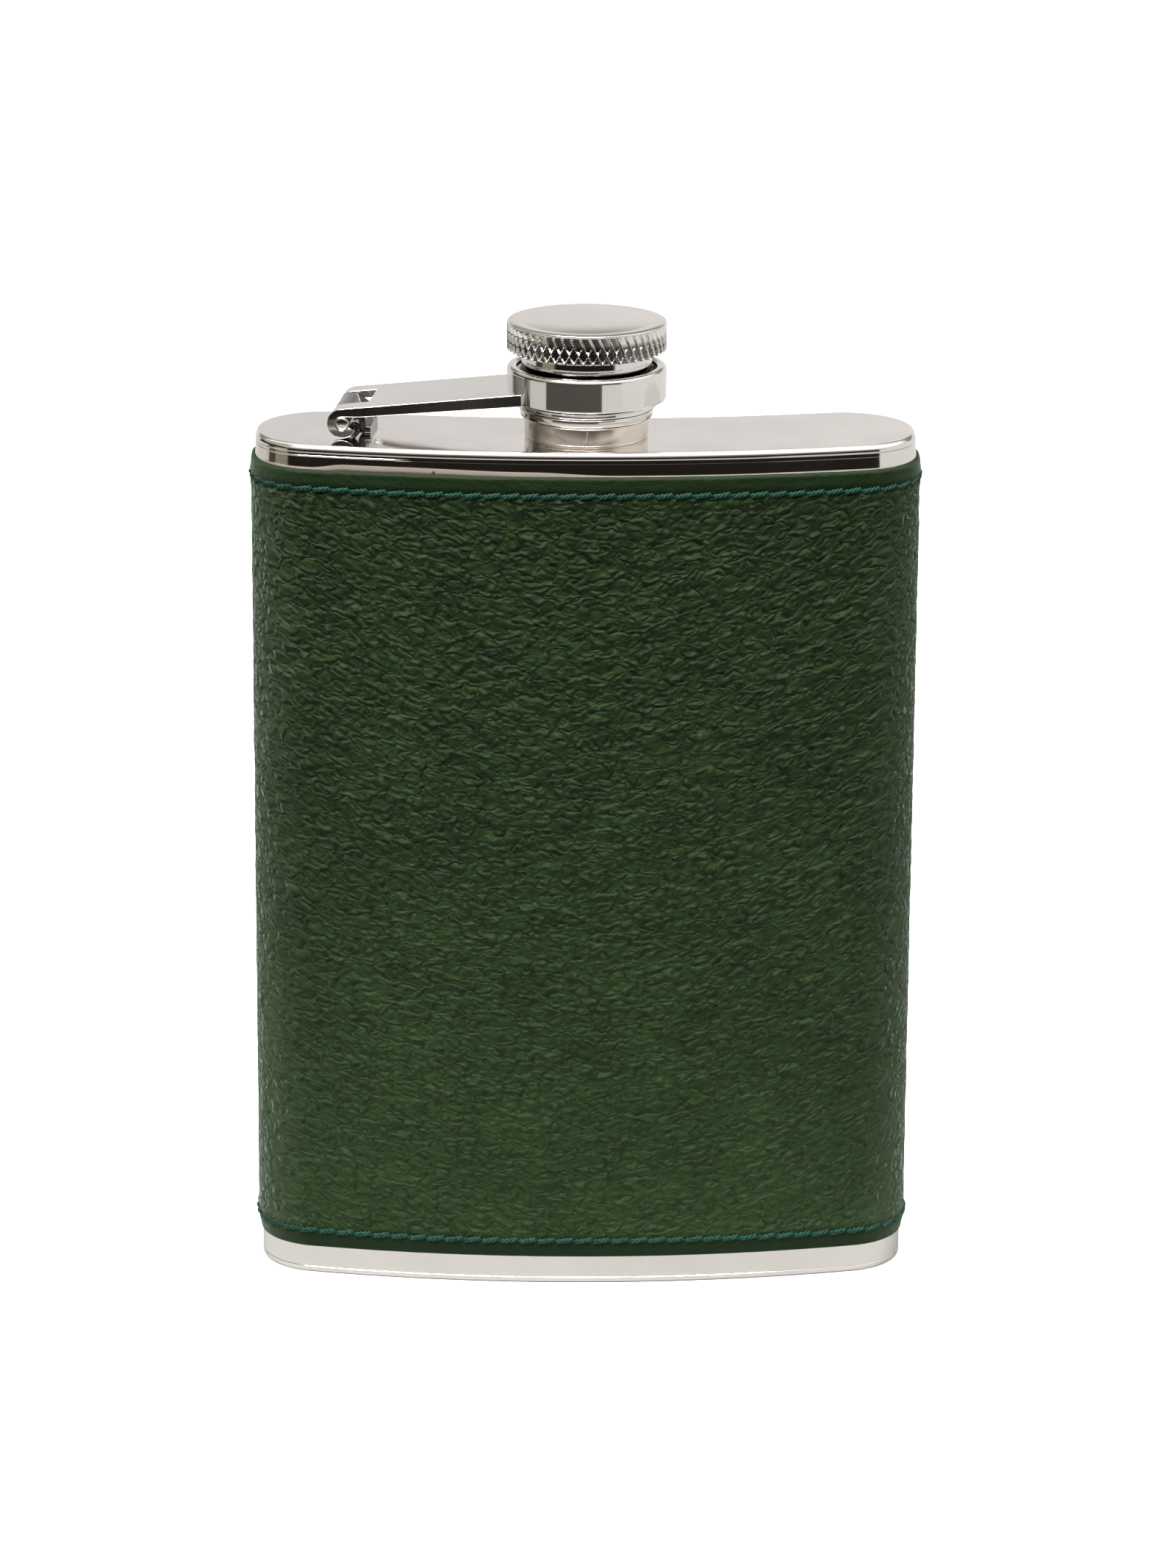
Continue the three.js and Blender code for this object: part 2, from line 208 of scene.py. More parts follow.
def leather_material():
    """Pebbled green leather. Painted values: groove is 1 at the bottom of a crease, where the colour gets
    painted shade; calm beyond the stitched rows, where the colour gets painted shade and the creases are
    calmer; side where the wrap faces sideways, where the colour gets a painted sheen; and edge at the cut
    edges, which are darker."""
    material, tree, shader = new_material("green_leather")
    groove, edge, calm, side = (painted(tree, name) for name in ("groove", "edge", "calm", "side"))
    mottle = noise(tree, 70, detail=5, roughness=0.65)
    pores = noise(tree, 3200, detail=3, roughness=0.7)
    grain = node(tree, "ShaderNodeTexVoronoi", {
        "Vector": node(tree, "ShaderNodeTexCoord").outputs["Object"], "Scale": 1500.0,
    }, feature="DISTANCE_TO_EDGE").outputs["Distance"]
    patches = spread(tree, mottle, 0.3, 0.7)
    base = mix_colour(tree, patches, (0.0112, 0.0232, 0.0062), (0.0190, 0.0365, 0.0105))
    # Painted shade in the bottoms of the creases
    wear_and_shade = mix_colour(tree, spread(tree, groove, 0.0, 0.6, 0, 0.55), base, (0.0022, 0.0055, 0.0014))
    # Painted shade on the margins beyond the stitched rows
    margin_shade = mix_colour(tree, maths(tree, "MULTIPLY", calm, 0.85), wear_and_shade, (0.0045, 0.013, 0.003))
    # Painted sheen: the flanks facing sideways are lightened
    side_sheen = mix_colour(tree, maths(tree, "MULTIPLY", side, 0.5), margin_shade, (0.046, 0.060, 0.034))
    cut = mix_colour(tree, edge, side_sheen, (0.008, 0.014, 0.005))
    quiet = maths(tree, "MAXIMUM", calm, maths(tree, "MULTIPLY", side, 0.45))
    creased = bump(tree, creases(tree), spread(tree, quiet, 0, 1, 0.85, 0.12), 0.0010)
    fine = bump(tree, pores, 0.18, 0.0001, creased)
    cells = bump(tree, spread(tree, grain, 0.0, 0.25), 0.18, 0.00008, fine)
    fill(tree, shader, {
        "Base Color": cut, "Roughness": spread(tree, pores, 0.3, 0.7, 0.52, 0.64),
        "Specular IOR Level": 0.07,
        "Sheen Weight": 0.14, "Sheen Roughness": 0.35, "Sheen Tint": (0.75, 1.0, 0.8, 1), "Normal": cells,
    })
    return material


def thread_material():
    """Bonded polyester thread, teal green, with fibres along the plies"""
    material, tree, shader = new_material("sewing_thread")
    fibres = noise(tree, 2600, detail=3)
    plies = spread(tree, fibres, 0.3, 0.7)
    colour = mix_colour(tree, plies, (0.001, 0.012, 0.0075), (0.010, 0.060, 0.039))
    fill(tree, shader, {
        "Base Color": colour, "Roughness": spread(tree, fibres, 0.3, 0.7, 0.5, 0.7),
        "Specular IOR Level": 0.2, "Normal": bump(tree, fibres, 0.5, 0.00006),
    })
    return material


def seal_material():
    """Moulded translucent sealing washer, slightly dusty"""
    material, tree, shader = new_material("seal")
    dust = noise(tree, 900, detail=4)
    colour = mix_colour(tree, spread(tree, dust, 0.35, 0.7), (0.80, 0.78, 0.74), (0.70, 0.68, 0.63))
    fill(tree, shader, {
        "Base Color": colour, "Roughness": spread(tree, dust, 0.3, 0.7, 0.42, 0.6),
        "Subsurface Weight": 0.2, "Subsurface Scale": 0.001, "Normal": bump(tree, dust, 0.2, 0.00005),
    })
    return material


STEEL_COLOUR = (0.84, 0.825, 0.80)
STEEL = steel_material("polished_steel", STEEL_COLOUR, 0.07)
CAP_STEEL = steel_material("turned_steel", STEEL_COLOUR, 0.08, wave=0.05, brushed=(1, 1, 12))
ARM_STEEL = steel_material("pressed_steel", (0.83, 0.82, 0.80), 0.09, wave=0.15)
NECK_STEEL = steel_material("drawn_steel", (0.78, 0.71, 0.635), 0.26, wave=0.03)
LEATHER = leather_material()
THREAD = thread_material()
SEAL = seal_material()


# ---- mesh helpers
def new_object(name, data):
    made = bpy.data.objects.new(name, data)
    bpy.context.scene.collection.objects.link(made)
    return made


def make_object(name, vertices, faces, material, sharp=None):
    """Object from millimetre vertices; edges sharper than sharp degrees stay crisp"""
    mesh = bpy.data.meshes.new(name)
    mesh.from_pydata((np.asarray(vertices, float) * MM).tolist(), [], [list(map(int, f)) for f in faces])
    mesh.materials.append(material)
    mesh.validate()
    made = new_object(name, mesh)
    mesh.polygons.foreach_set("use_smooth", [True] * len(mesh.polygons))
    if sharp is not None:
        crisp_edges(mesh, sharp)
        flat_faces_stay_flat(made)
    return made


def stands_for(made, body, slot, *nodes):
    """The piece takes the place of CAD nodes and moves with their body; slot is not used"""
    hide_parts(*nodes)
    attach(made, body)


def paint(made, name, values):
    """Stores a value for each point, which the material reads"""
    store = made.data.attributes.new(name, "FLOAT", "POINT")
    store.data.foreach_set("value", values)


def flat_faces_stay_flat(made):
    """Large faces keep their own normal, so a rounded edge doesn't bend the mirror beside it"""
    modifier = made.modifiers.new("normals", "WEIGHTED_NORMAL")
    modifier.keep_sharp = True
    modifier.weight = 90
    modifier.thresh = 0.0


def crisp_edges(mesh, degrees):
    """Marks edges sharper than an angle and turns every face outward"""
    angle = math.radians(degrees)
    work = bmesh.new()
    work.from_mesh(mesh)
    bmesh.ops.recalc_face_normals(work, faces=work.faces)
    for edge in work.edges:
        edge.smooth = len(edge.link_faces) == 2 and edge.calc_face_angle(0) < angle
    work.to_mesh(mesh)
    work.free()


def grid_faces(rows, columns, close_rows=False, close_columns=False):
    """Quads of a grid of rows x columns vertices, wrapped where asked"""
    r = np.arange(rows if close_rows else rows - 1)
    c = np.arange(columns if close_columns else columns - 1)
    r, c = (a.ravel() for a in np.meshgrid(r, c, indexing="ij"))
    r1, c1 = (r + 1) % rows, (c + 1) % columns
    return np.stack([r * columns + c, r * columns + c1, r1 * columns + c1, r1 * columns + c], 1)


def rod_faces(rows, columns):
    """Quads of a closed skin of rows rings, with both ends capped"""
    last = (rows - 1) * columns
    faces = [list(f) for f in grid_faces(rows, columns, close_columns=True)]
    return faces + [list(range(columns))[::-1], list(range(last, last + columns))]


def join_parts(parts):
    """Several (vertices, faces) pairs as one"""
    vertices, faces, start = [], [], 0
    for part_vertices, part_faces in parts:
        vertices.append(np.asarray(part_vertices, float))
        faces += [[start + int(i) for i in f] for f in part_faces]
        start += len(part_vertices)
    return np.concatenate(vertices), faces


def rounded(points, steps=4, closed=True):
    """Outline of (a, b, radius) corners with each corner rounded to its radius"""
    made = []
    count = len(points)
    for i, (a, b, radius) in enumerate(points):
        here = np.array([a, b], float)
        if radius <= 0 or (not closed and i in (0, count - 1)):
            made.append(here)
            continue
        back = np.array(points[i - 1][:2], float) - here
        on = np.array(points[(i + 1) % count][:2], float) - here
        back_length, on_length = np.linalg.norm(back), np.linalg.norm(on)
        back, on = back / back_length, on / on_length
        half = math.acos(max(-1, min(1, float(back @ on)))) / 2
        reach = min(radius / math.tan(half), 0.49 * back_length, 0.49 * on_length)
        radius = reach * math.tan(half)
        centre = here + (back + on) / np.linalg.norm(back + on) * radius / math.sin(half)
        start, end = here + back * reach - centre, here + on * reach - centre
        turn = math.atan2(start[0] * end[1] - start[1] * end[0], float(start @ end))
        for t in np.linspace(0, turn, steps + 1):
            c, s = math.cos(t), math.sin(t)
            made.append(centre + (c * start[0] - s * start[1], s * start[0] + c * start[1]))
    return np.array(made)


def full_turn(sides):
    return np.linspace(0, 2 * math.pi, sides, endpoint=False)


def about_neck(radius, angle, z):
    """Points from their radius and angle about the neck's axis"""
    x, y = NECK_AXIS[0] + radius * np.cos(angle), NECK_AXIS[1] + radius * np.sin(angle)
    return np.stack(np.broadcast_arrays(x, y, z), -1)


def lathe(profile, sides):
    """Ring about the neck's axis from a closed profile of (radius, z)"""
    vertices = about_neck(profile[:, :1], full_turn(sides), profile[:, 1:]).reshape(-1, 3)
    return vertices, grid_faces(len(profile), sides, close_rows=True, close_columns=True)


def sweep(path, side, section):
    """Closed section of (across, out) swept along path; side is the constant across direction"""
    along = np.gradient(path, axis=0)
    along /= np.linalg.norm(along, axis=1)[:, None]
    out = np.cross(side, along)
    out /= np.linalg.norm(out, axis=1)[:, None]
    vertices = path[:, None] + section[None, :, :1] * side + section[None, :, 1:] * out[:, None]
    return vertices.reshape(-1, 3), rod_faces(len(path), len(section))


def tube(path, radius, sides):
    """Round tube along a path, with a radius for each point or one for all"""
    radius = np.broadcast_to(radius, len(path))
    along = np.gradient(path, axis=0)
    along /= np.linalg.norm(along, axis=1)[:, None]
    up = np.array([0, 0, 1.0]) if abs(along[0][2]) < 0.9 else np.array([1.0, 0, 0])
    vertices = []
    for point, direction, r in zip(path, along, radius):
        across = np.cross(direction, up)
        across /= np.linalg.norm(across)
        up = np.cross(across, direction)
        angles = full_turn(sides)
        vertices.append(point + r * (np.outer(np.cos(angles), across) + np.outer(np.sin(angles), up)))
    return np.concatenate(vertices), rod_faces(len(path), sides)


def add_bevel(made, width, segments, angle):
    """Rounds the edges sharper than angle degrees"""
    modifier = made.modifiers.new("edges", "BEVEL")
    modifier.width = width * MM
    modifier.segments = segments
    modifier.limit_method = "ANGLE"
    modifier.angle_limit = math.radians(angle)
    flat_faces_stay_flat(made)


# ---- the body's section
def outline_arcs():
    """Arcs and lines of the kidney outline from the middle of the back, anticlockwise from above.
    Each is (centre, radius, start angle, end angle, +1 convex or -1 concave)."""
    front_x = HALF_WIDTH - FRONT_CORNER
    back_x = HALF_WIDTH - BACK_CORNER
    front_y = FRONT_RADIUS - math.sqrt((FRONT_RADIUS - FRONT_CORNER) ** 2 - front_x ** 2)
    back_centre = DEPTH + BACK_RADIUS
    back_y = back_centre - math.sqrt((BACK_RADIUS + BACK_CORNER) ** 2 - back_x ** 2)
    front_turn = math.atan2(front_y - FRONT_RADIUS, front_x)
    back_turn = math.atan2(back_centre - back_y, -back_x)
    half = math.pi / 2
    return [
        ((0, back_centre), BACK_RADIUS, -half, -back_turn, -1),
        ((-back_x, back_y), BACK_CORNER, math.pi - back_turn, math.pi, 1),
        ((-front_x, front_y), FRONT_CORNER, math.pi, math.pi - front_turn, 1),
        ((0, FRONT_RADIUS), FRONT_RADIUS, -math.pi - front_turn, front_turn, 1),
        ((front_x, front_y), FRONT_CORNER, front_turn, 0, 1),
        ((back_x, back_y), BACK_CORNER, 0, back_turn, 1),
        ((0, back_centre), BACK_RADIUS, back_turn - math.pi, -half, -1),
    ]


def fine_outline(step=0.02):
    """Dense points and outward normals of the steel outline, with the length along it"""
    points, normals = [], []
    for (cx, cy), radius, start, end, side in outline_arcs():
        count = max(8, int(abs(end - start) * radius / step))
        angles = np.linspace(start, end, count)
        radial = np.stack([np.cos(angles), np.sin(angles)], 1)
        points.append(np.array([cx, cy + FRONT_Y]) + radius * radial)
        normals.append(side * radial)
    points, normals = np.concatenate(points), np.concatenate(normals)
    lengths = np.concatenate([[0], np.cumsum(np.linalg.norm(np.diff(points, axis=0), axis=1))])
    return points, normals, lengths


OUTLINE, OUTLINE_NORMAL, OUTLINE_LENGTH = fine_outline()
PERIMETER = float(OUTLINE_LENGTH[-1])


def on_outline(length):
    """Points and normals at lengths along the steel outline"""
    point = np.stack([np.interp(length, OUTLINE_LENGTH, OUTLINE[:, i]) for i in (0, 1)], -1)
    normal = np.stack([np.interp(length, OUTLINE_LENGTH, OUTLINE_NORMAL[:, i]) for i in (0, 1)], -1)
    return point, normal / np.linalg.norm(normal, axis=-1, keepdims=True)


def body_rings(profile, columns=420):
    """Rings of the outline, each grown by (offset, z) of the profile"""
    point, normal = on_outline(np.linspace(0, PERIMETER, columns, endpoint=False))
    rings = [np.column_stack([point + normal * offset, np.full(columns, z)]) for offset, z in profile]
    return np.concatenate(rings)


# ---- steel body
def blend(value, low, high):
    t = np.clip((value - low) / (high - low), 0, 1)
    return t * t * (3 - 2 * t)


def steel_sleeve():
    """Drawn body. Above the wrap its wall leans in a little, over a band that leans out;
    the weld under the shoulder is a fine raised line that fades toward the right."""
    columns = 560
    low, high = heights(SLEEVE)
    point, normal = on_outline(np.linspace(0, PERIMETER, columns, endpoint=False))
    x = point[:, 0]
    ridge = 0.07 * (1 - blend(x, -30, -24)) * (1 - blend(x, 40, 47)) + 0.002
    band_top = 121.1 + 0.6 * blend(x, -39, -34) - 0.3 * blend(x, -26, -8) - 0.45 * blend(x, -8, 4)
    rows = [(-WALL, low), (-0.04, low), (0, low + 0.05), (0, 119), (-0.075, 120.4)]
    edge, lean, seam_foot = 0.05, math.tan(math.radians(3.4)), high - 0.52
    rows += [(-0.02 - lean * edge, band_top - edge), (-0.02, band_top)]
    for z in (band_top + edge, seam_foot - edge, seam_foot):
        rows.append((-0.02 - lean * (z - band_top), z))
    root = -0.02 - lean * (seam_foot - band_top)
    for t in np.linspace(0.15, 0.85, 5) * math.pi:
        z = high - 0.40 - 0.12 * math.cos(t)
        rows.append((root - lean * (z - seam_foot) + ridge * math.sin(t), z))
    for z in (high - 0.28, high - 0.23, high):
        rows.append((root - lean * (z - seam_foot), z))
    rows.append((-WALL, high))
    rings = []
    for row in rows:
        offset, height = (np.broadcast_to(value, columns) for value in row)
        rings.append(np.column_stack([point + normal * offset[:, None], height]))
    faces = grid_faces(len(rows), columns, close_rows=True, close_columns=True)
    made = make_object("steel_sleeve", np.concatenate(rings), faces, STEEL, sharp=50)
    stands_for(made, "flask", "polished_steel", "body_sleeve")


def fill_between(outer, inner, z):
    """Flat face between an outer loop and a round hole, as triangles"""
    work = bmesh.new()
    edges = []
    for loop in (outer, inner):
        made = [work.verts.new((x, y, z)) for x, y in loop]
        edges += [work.edges.new((a, b)) for a, b in zip(made, made[1:] + made[:1])]
    bmesh.ops.triangle_fill(work, use_beauty=True, use_dissolve=False, edges=edges)
    work.verts.index_update()
    vertices = [tuple(v.co) for v in work.verts]
    faces = [[v.index for v in f.verts] for f in work.faces]
    work.free()
    return vertices, faces


def weld(made, distance):
    """Joins points nearer than distance and turns every face outward; 0 joins none"""
    work = bmesh.new()
    work.from_mesh(made.data)
    if distance > 0:
        bmesh.ops.remove_doubles(work, verts=work.verts, dist=distance * MM)
    bmesh.ops.recalc_face_normals(work, faces=work.faces)
    work.to_mesh(made.data)
    work.free()


def shoulder():
    """Top pressing: rounded edge, a fine weld groove under it, flat top with the neck's hole"""
    columns = 420
    seam, top = float(SLEEVE[1][2]) + 0.03, PLATE_TOP
    edge = 0.78
    turn = np.linspace(0, math.pi / 2, 9)
    profile = [(-1.4, seam - 1.2), (-0.8, seam - 1.2), (-0.8, seam), (-0.12, seam), (-0.115, seam + 0.02)]
    profile += [(edge * (math.cos(t) - 1) - 0.125, top - edge + edge * math.sin(t)) for t in turn]
    rings = body_rings(profile, columns)
    faces = [list(f) for f in grid_faces(len(profile), columns, close_columns=True)]
    hole = about_neck(7.55, full_turn(96), 0)[:, :2]
    outer = rings[-columns:, :2]
    flat = fill_between(outer, hole, top)
    under = fill_between(rings[:columns, :2], hole, seam - 1.2)
    ends = [np.column_stack([hole, np.full(len(hole), z)]) for z in (seam - 1.2, top)]
    wall = (np.concatenate(ends), grid_faces(2, len(hole), close_columns=True))
    vertices, faces = join_parts([(rings, faces), flat, under, wall])
    made = make_object("shoulder_pressing", vertices, faces, STEEL)
    weld(made, 0.002)
    crisp_edges(made.data, 40)
    flat_faces_stay_flat(made)
    stands_for(made, "flask", "polished_steel", "shoulder_plate")


def base():
    """Bottom pressing with a small edge radius and a shallow panel pressed up inside its rim"""
    columns = 420
    high = float(SLEEVE[0][2]) - 0.03
    edge = 0.4
    turn = np.linspace(0, math.pi / 2, 6)
    profile = [(-0.8, high), (-0.06, high), (0, high - 0.06)]
    profile += [(edge * (math.cos(t) - 1), edge - edge * math.sin(t)) for t in turn]
    profile += [(-2.4, 0), (-2.7, 0.06), (-3.0, 0.22), (-3.3, 0.28)]
    rings = body_rings(profile, columns)
    faces = [list(f) for f in grid_faces(len(profile), columns, close_columns=True)]
    faces.append(list(range(columns)))
    last = (len(profile) - 1) * columns
    faces.append(list(range(last, last + columns))[::-1])
    made = make_object("base_pressing", rings, faces, STEEL, sharp=40)
    stands_for(made, "flask", "polished_steel", "base_plate")


def thread_ridge(radius):
    """Rolled thread: a round ridge that fades in and out at its ends"""
    t = np.linspace(0, 1, THREAD_TURNS * 72)
    angle = 2 * math.pi * THREAD_TURNS * t
    path = about_neck(radius, angle, THREAD_START + THREAD_PITCH * THREAD_TURNS * t)
    fade = np.clip(np.minimum(t, 1 - t) * THREAD_TURNS * 6, 0.05, 1)
    return tube(path, THREAD_RIDGE * np.sqrt(fade), sides=12)


def neck():
    foot, top = PLATE_TOP, float(NECK[1][2])
    bore, pipe, base_r, spigot = 5.6, 6.9, radius_of(NECK), 7.4
    base_top = 127.0
    profile = rounded([
        (bore, foot - 1.5, 0.1), (spigot, foot - 1.5, 0.1), (spigot, foot + 0.02, 0),
        (base_r - 0.13, foot + 0.02, 0.05), (base_r - 0.13, foot + 0.3, 0.03),
        (base_r - 0.19, foot + 0.36, 0.03), (base_r - 0.12, foot + 0.42, 0.03),
        (base_r - 0.06, base_top, 0.35), (pipe, base_top, 0.3),
        (pipe, top, 0.55), (bore, top, 0.4),
    ], steps=5)
    made = make_object("neck", *join_parts([lathe(profile, 192), thread_ridge(pipe)]), NECK_STEEL, sharp=40)
    stands_for(made, "flask", "polished_steel", "neck_spout")


# ---- leather wrap
def hash_noise(ix, iy, salt):
    """Repeatable random numbers for grid cells"""
    h = (ix.astype(np.int64) * 374761393 + iy.astype(np.int64) * 668265263 + (salt + SEED) * 1442695041)
    h = (h ^ (h >> 13)) * 1274126177 & 0x7FFFFFFF
    return ((h ^ (h >> 16)) & 0xFFFF) / 65535.0


def soft_noise(x, y, salt):
    """Smooth gradient noise, about -1..1, with one cell per unit"""
    ix, iy = np.floor(x), np.floor(y)
    fx, fy = x - ix, y - iy
    slopes = []
    for a, b in ((0, 0), (1, 0), (0, 1), (1, 1)):
        turn = hash_noise(ix + a, iy + b, salt) * 2 * math.pi
        slopes.append(np.cos(turn) * (fx - a) + np.sin(turn) * (fy - b))
    ux, uy = (f ** 3 * (f * (f * 6 - 15) + 10) for f in (fx, fy))
    low = slopes[0] * (1 - ux) + slopes[1] * ux
    high = slopes[2] * (1 - ux) + slopes[3] * ux
    return (low * (1 - uy) + high * uy) * 1.5


def cells(x, y, salt):
    """How much nearer the nearest cell centre is than the next: 0 along the borders"""
    ix, iy = np.floor(x), np.floor(y)
    nearest = np.full(x.shape, 9.0)
    second = np.full(x.shape, 9.0)
    for a in (-1, 0, 1):
        for b in (-1, 0, 1):
            px = ix + a + 0.075 + 0.85 * hash_noise(ix + a, iy + b, salt)
            py = iy + b + 0.075 + 0.85 * hash_noise(ix + a, iy + b, salt + 50)
            distance = np.hypot(px - x, py - y)
            second = np.minimum(second, np.maximum(nearest, distance))
            nearest = np.minimum(nearest, distance)
    return second - nearest


def pebble(gap, width):
    return np.sin(np.clip(gap / width, 0, 1) * math.pi / 2) ** 0.85


def grain(s, z):
    """Relief of the leather's grain in mm at length s along the wrap and height z.
    Its creases run level in the middle of the front and droop toward both sides."""
    x = s - PERIMETER / 2
    lift = z - 0.006 * x ** 2
    a = s + 0.7 * soft_noise(s / 5, z / 4, 1) + 0.3 * soft_noise(s / 1.8, z / 1.5, 11)
    b = lift + 0.5 * soft_noise(s / 4, z / 3, 2) + 0.25 * soft_noise(s / 1.6, z / 1.3, 9)
    large = pebble(cells(a / 2.6, b / 1.45, 3), 0.42)
    small = pebble(cells(a / 1.35 + 9, b / 0.85 + 4, 4), 0.5)
    large_share = np.clip(0.75 + 0.6 * soft_noise(s / 5, lift / 3, 6), 0.2, 1.3)
    small_share = np.clip(0.7 + 0.7 * soft_noise(s / 4, lift / 2.6, 16), 0.1, 1.3)
    waves = 0.55 * soft_noise(a / 3.6, b / 1.7, 33) + 0.22 * soft_noise(a / 1.3, b / 0.62, 53)
    relief = 0.34 * large_share * large + 0.2 * small_share * small + waves
    groove = np.clip(1 - large * 1.1, 0, 1) * large_share
    groove = groove + 0.5 * np.clip(1 - small * 1.2, 0, 1) * small_share
    return relief - 0.3, np.clip(groove, 0, 1)


STITCH_PITCH = 2.7
ROW_COUNT = round(PERIMETER / STITCH_PITCH)
RELIEF = 0.36
LEATHER_FACE = 0.60


def puff(s, z):
    """The wrap stands off a little more high up on its left side"""
    return 0.22 * blend(z, 78, 98) * blend(PERIMETER / 2 - s, 35, 45) * blend(s, 60, 75)


def wrap_offset(s, z):
    """Height of the leather's face above the steel, before creases"""
    low, high = heights(WRAP)
    body = LEATHER_FACE + puff(s, z)
    for row in (TOP_ROW_Z, BOTTOM_ROW_Z):
        away = np.abs(z - row)
        body = body + 0.12 * np.exp(-((away - 1.0) / 0.55) ** 2) - 0.12 * np.exp(-(away / 0.42) ** 2)
    skive = np.clip((z - low) / (BOTTOM_ROW_Z - low), 0, 1)
    body = body * (0.45 + 0.55 * skive)
    for edge, radius in ((z - low, 0.30), (high - z, 0.42)):
        t = np.clip(edge / radius, 0, 1)
        body = body * np.sqrt(np.clip(1 - (1 - t) ** 2, 0, 1))
    seam = np.minimum(s, PERIMETER - s)
    away = np.abs(seam - REAR_ROW_X)
    inside = (z > REAR_ROW_LOW - 1) & (z < REAR_ROW_HIGH + 1)
    body = body + inside * (0.07 * np.exp(-((away - 1.0) / 0.55) ** 2) - 0.12 * np.exp(-(away / 0.42) ** 2))
    t = np.clip((seam - 0.04) / 0.35, 0, 1)
    return body * (0.15 + 0.85 * np.sqrt(np.clip(1 - (1 - t) ** 2, 0, 1)))


def wrap_columns():
    """Lengths along the wrap: close together on the front and sides, wider apart behind"""
    ends = np.array([0.04, 0.08, 0.16, 0.28, 0.4])
    behind = np.linspace(0.65, PERIMETER * 0.22, 52)
    front = np.linspace(PERIMETER * 0.22, PERIMETER * 0.78, 218)[1:-1]
    return np.concatenate([ends, behind, front, PERIMETER - behind[::-1], PERIMETER - ends[::-1]])


def leather_wrap():
    low, high = heights(WRAP)
    s = wrap_columns()
    edge_rows = np.array([0, 0.03, 0.08, 0.16, 0.28, 0.42])
    z = np.concatenate([low + edge_rows, np.linspace(low + 0.7, high - 0.7, 285), high - edge_rows[::-1]])
    grid_s, grid_z = np.meshgrid(s, z)
    point, normal = on_outline(grid_s)
    relief, groove = grain(grid_s, grid_z)
    from_rows = np.minimum(np.abs(grid_z - BOTTOM_ROW_Z), np.abs(TOP_ROW_Z - grid_z))
    beyond = (grid_z < BOTTOM_ROW_Z) | (grid_z > TOP_ROW_Z)
    margin = np.clip(from_rows / 1.2, 0.35, 1) * np.where(beyond, 0.4, 1)
    # Weaker relief low down and at the sides; the same factor weakens the painted shade in the creases
    wear_and_shade = 0.55 + 0.45 * np.clip((grid_z - 15) / 60, 0, 1)
    swell = 0.04 * soft_noise(grid_s / 9, grid_z / 7, 8)
    at_side = np.abs(normal[..., 0]) ** 2
    wear_and_shade = wear_and_shade * (1 - 0.6 * at_side)
    offset = np.maximum(wrap_offset(grid_s, grid_z) + (swell + RELIEF * relief * wear_and_shade) * margin, 0.03)
    outer = np.concatenate([point + normal * offset[..., None], grid_z[..., None]], -1).reshape(-1, 3)
    columns, rows = len(s), len(z)
    back = point[0] + normal[0] * 0.01
    inner = [np.column_stack([back, np.full(columns, level)]) for level in (high, low)]
    vertices = np.concatenate([outer, *inner])
    faces = grid_faces(rows + 2, columns, close_rows=True).tolist()
    faces += [[r * columns + c for r in range(rows + 2)] for c in (0, columns - 1)]
    made = make_object("leather", vertices, faces, LEATHER)
    weld(made, 0)
    # groove is the painted shade at the bottoms of the creases
    paint(made, "groove", np.concatenate([(groove * wear_and_shade * margin).ravel(), np.zeros(2 * columns)]))
    rim = np.minimum(np.minimum(grid_z - low, high - grid_z), np.minimum(grid_s, PERIMETER - grid_s))
    calm = np.maximum(blend(grid_z - TOP_ROW_Z, -0.2, 0.3), blend(BOTTOM_ROW_Z - grid_z, -0.2, 0.3))
    paint(made, "calm", np.concatenate([calm.ravel(), np.ones(2 * columns)]))
    paint(made, "side", np.concatenate([at_side.ravel(), np.zeros(2 * columns)]))
    paint(made, "edge", np.concatenate([np.clip(1 - rim / 0.3, 0, 1).ravel(), np.ones(2 * columns)]))
    stands_for(made, "flask", "green_leather", "leather_wrap")


PLIES, PLY_RADIUS, PLY_LAY, PLY_TURNS = 3, 0.2, 0.21, 1.3
STITCH_SINK = 0.4


def twisted_stitch(start, end, outward):
    """One stitch: plies twisted round a line that dives into the leather at both ends"""
    t = np.linspace(0, 1, 11)
    along = (end - start) / np.linalg.norm(end - start)
    across = np.cross(outward, along)
    rise = np.sin(math.pi * t) ** 0.4
    centre = start + np.outer(t, end - start) + np.outer(STITCH_SINK * (rise - 1), outward)
    parts = []
    for k in range(PLIES):
        twist = 2 * math.pi * (k / PLIES + PLY_TURNS * t)
        path = centre + PLY_LAY * (np.outer(np.cos(twist), outward) + np.outer(np.sin(twist), across))
        parts.append(tube(path, PLY_RADIUS, sides=6))
    return join_parts(parts)


def sew(name, stitches, node_name):
    made = make_object(name, *join_parts(stitches), THREAD)
    stands_for(made, "flask", "sewing_thread", node_name)


def stitched_row(name, z, node_name, lift):
    """Separate stitches right round the wrap at one height, each leaning a little"""
    parts = []
    for i in range(ROW_COUNT):
        middle = (i + 0.5) / ROW_COUNT * PERIMETER
        wobble = 0.05 * math.sin(12.9 * i)
        ends = []
        for side in (-1, 1):
            point, normal = on_outline(middle + side * 1.3)
            away = lift + float(puff(middle, z))
            ends.append(np.array([*(point + normal * away), z + side * 0.22 + wobble]))
        _, normal = on_outline(middle)
        parts.append(twisted_stitch(*ends, np.array([*normal, 0.0])))
    sew(name, parts, node_name)


